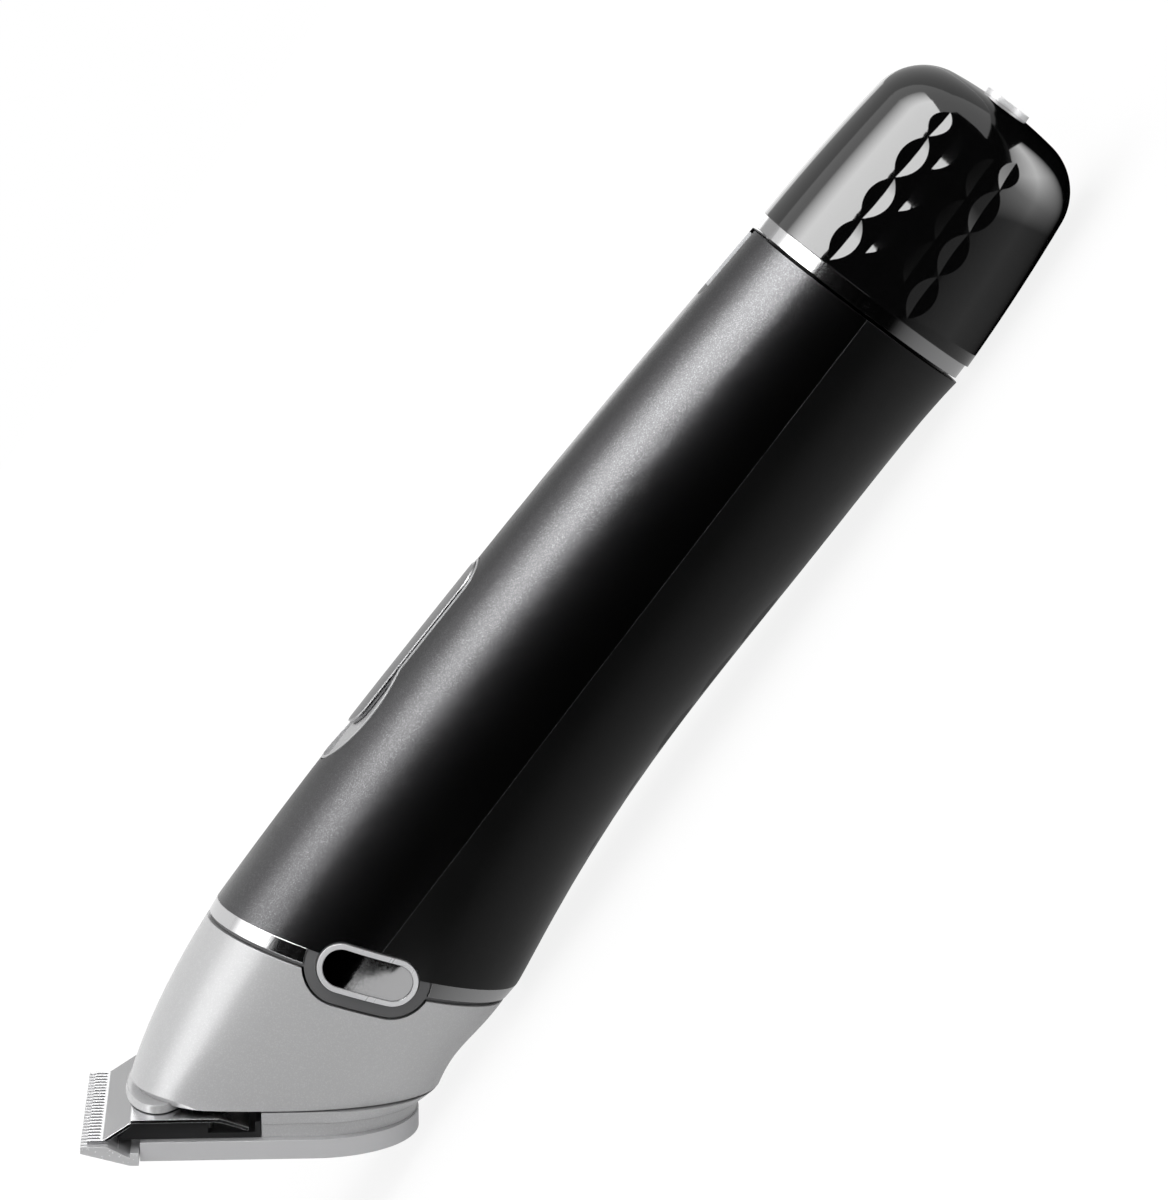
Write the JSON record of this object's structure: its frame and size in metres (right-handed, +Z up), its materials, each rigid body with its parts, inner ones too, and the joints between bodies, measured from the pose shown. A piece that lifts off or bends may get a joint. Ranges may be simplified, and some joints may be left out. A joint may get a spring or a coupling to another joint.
{
  "type": "hair clipper",
  "caption": "Cordless hair clipper: bent oval handle with slide switch and faceted end cap, slanted pull-off head with a toothed comb blade and a reciprocating cutter.",
  "frame": {"origin": "bottom centre of the box round the clipper as it lies on its back, under the middle of its length", "axes": "+X along the handle to the end cap, +Z up out of the switch side, Y across the blade"},
  "size_m": [0.1631, 0.036, 0.0359],
  "materials": {
    "body_paint": "satin black paint with a fine metallic fleck",
    "body_plain": "plain satin black moulding",
    "cap_gloss": "polished black moulding with ground facets",
    "bright_trim": "bright plated trim",
    "collar_grey": "dark grey moulding",
    "silver_plastic": "satin silver paint on a moulding",
    "button_gloss": "polished black insert",
    "blade_steel": "ground and polished blade steel",
    "sole_steel": "satin pressed steel",
    "inner_black": "black inner moulding",
    "inner_white": "natural acetal moulding",
    "light_pipe": "frosted clear moulding",
    "motor_steel": "zinc plated motor can",
    "screw_steel": "zinc plated screws",
    "spring_steel": "bright spring steel",
    "battery_wrap": "shrink sleeve on a rechargeable cell",
    "board_green": "solder mask on a glass fibre board",
    "nickel": "nickel strip"
  },
  "bodies": {
    "handle": {"front_shell": "body_paint", "rear_shell": "body_plain", "end_cap": "cap_gloss", "cap_ring": "bright_trim", "charge_jack": "nickel", "neck_collar": "collar_grey", "neck_trim_front": "bright_trim", "neck_trim_rear": "bright_trim", "release_spring_left": "spring_steel", "release_spring_right": "spring_steel", "slider_bezel": "silver_plastic", "light_guide": "light_pipe", "charge_led": "light_pipe", "chassis": "inner_black", "chassis_screws": "screw_steel", "motor_can": "motor_steel", "motor_bell": "inner_black", "motor_mount": "motor_steel", "motor_screws": "screw_steel", "battery_cell": "battery_wrap", "battery_tabs": "nickel", "main_board": "board_green", "board_screws": "screw_steel", "slide_switch": "inner_black"},
    "rotor": {"motor_shaft": "screw_steel", "eccentric_cam": "inner_white"},
    "slider": {"power_slider": "bright_trim", "slider_carriage": "inner_black", "switch_nub": "inner_white"},
    "release_left": {"release_frame_left": "bright_trim", "release_insert_left": "button_gloss"},
    "release_right": {"release_frame_right": "bright_trim", "release_insert_right": "button_gloss"},
    "head": {"head_housing": "silver_plastic", "head_bracket": "inner_black", "head_base": "silver_plastic", "sole_plate": "sole_steel", "sole_screws": "screw_steel", "fixed_blade": "blade_steel", "cutter_guide": "inner_black", "blade_spring": "spring_steel", "lever_pivot": "screw_steel"},
    "lever": {"drive_lever": "inner_white"},
    "cutter": {"cutter": "blade_steel"}
  },
  "joints": [
    {"name": "motor_spin", "type": "hinge", "parent": "handle", "child": "rotor", "pos_m": [-0.03218, 0, 0.01818], "axis": [1, 0, 0], "continuous": true},
    {"name": "power_slide", "type": "slide", "parent": "handle", "child": "slider", "axis": [-0.9993, 0, 0.0384], "range_m": [0, 0.004]},
    {"name": "release_press_left", "type": "slide", "parent": "handle", "child": "release_left", "axis": [0, -1, 0], "range_m": [0, 0.001], "stiffness_N_per_m": 2000, "deforming": ["release_spring_left"]},
    {"name": "release_press_right", "type": "slide", "parent": "handle", "child": "release_right", "axis": [0, 1, 0], "range_m": [0, 0.001], "stiffness_N_per_m": 2000, "deforming": ["release_spring_right"]},
    {"name": "head_pull", "type": "slide", "parent": "handle", "child": "head", "axis": [-1, 0, 0], "range_m": [0, 0.02]},
    {"name": "lever_swing", "type": "hinge", "parent": "head", "child": "lever", "pos_m": [-0.06394, 0, 0.01637], "axis": [0.8111, 0, 0.585], "range_deg": [-5.2, 5.2]},
    {"name": "cutter_stroke", "type": "slide", "parent": "head", "child": "cutter", "axis": [0, -1, 0], "range_m": [-0.00113, 0.00113]}
  ],
  "couplings": [
    {"joint": "lever_swing", "follows": "cutter_stroke", "rad_per_m": 80}
  ]
}
